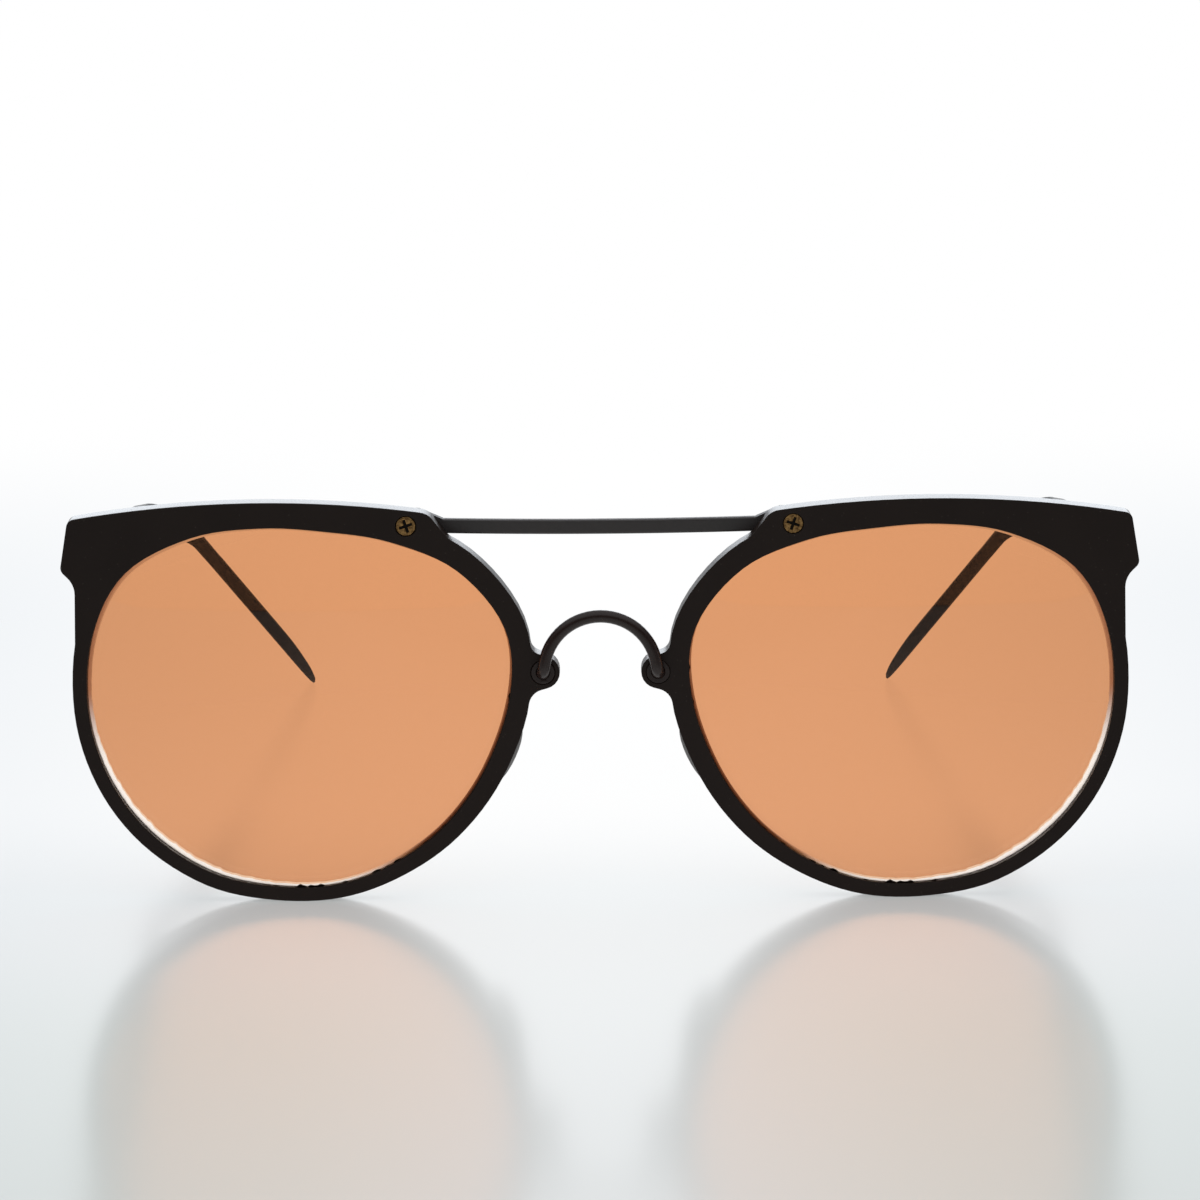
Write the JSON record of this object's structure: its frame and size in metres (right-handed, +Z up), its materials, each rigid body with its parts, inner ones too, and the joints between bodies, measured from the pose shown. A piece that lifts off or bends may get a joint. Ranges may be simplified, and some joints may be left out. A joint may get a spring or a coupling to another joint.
{
  "type": "sunglasses",
  "caption": "Sunglasses with round tinted lenses in black rims, joined by a flat brow bar and an arched wire bridge, with folding arms that curve down and in behind the ears.",
  "frame": {"origin": "on the ground, below the middle of the whole frame's box, with the arms open", "axes": "-Y is the way the wearer looks, +Y runs back along the arms, +X is the wearer's left, and +Z is up"},
  "size_m": [0.136, 0.1298, 0.0518],
  "materials": {
    "frame_black": "fine matt black acetate",
    "lens_amber": "polished amber tint",
    "bar_black": "satin black coat",
    "wire_black": "satin black coat",
    "screw_brass": "darkened brass",
    "hinge_steel": "dark plated"
  },
  "bodies": {
    "front": {"rim_left": "frame_black", "rim_right": "frame_black", "lens_left": "lens_amber", "lens_right": "lens_amber", "brow_bar": "bar_black", "brow_screw_left": "screw_brass", "brow_screw_right": "screw_brass", "bridge_wire": "wire_black", "bridge_washer_left": "wire_black", "bridge_washer_right": "wire_black", "bridge_nut_left": "hinge_steel", "bridge_nut_right": "hinge_steel", "nose_pad_left": "frame_black", "nose_pad_right": "frame_black", "front_hinge_left": "hinge_steel", "front_hinge_right": "hinge_steel", "hinge_screw_left": "hinge_steel", "hinge_screw_right": "hinge_steel"},
    "arm_left": {"temple_left": "frame_black", "arm_hinge_left": "hinge_steel", "hinge_rivets_left": "hinge_steel"},
    "arm_right": {"temple_right": "frame_black", "arm_hinge_right": "hinge_steel", "hinge_rivets_right": "hinge_steel"}
  },
  "joints": [
    {"name": "left_arm_fold", "type": "hinge", "parent": "front", "child": "arm_left", "pos_m": [0.06335, -0.05816, 0.04534], "axis": [0, 0, 1], "range_deg": [0, 80]},
    {"name": "right_arm_fold", "type": "hinge", "parent": "front", "child": "arm_right", "pos_m": [-0.06335, -0.05816, 0.04534], "axis": [0, 0, -1], "range_deg": [0, 70]}
  ]
}
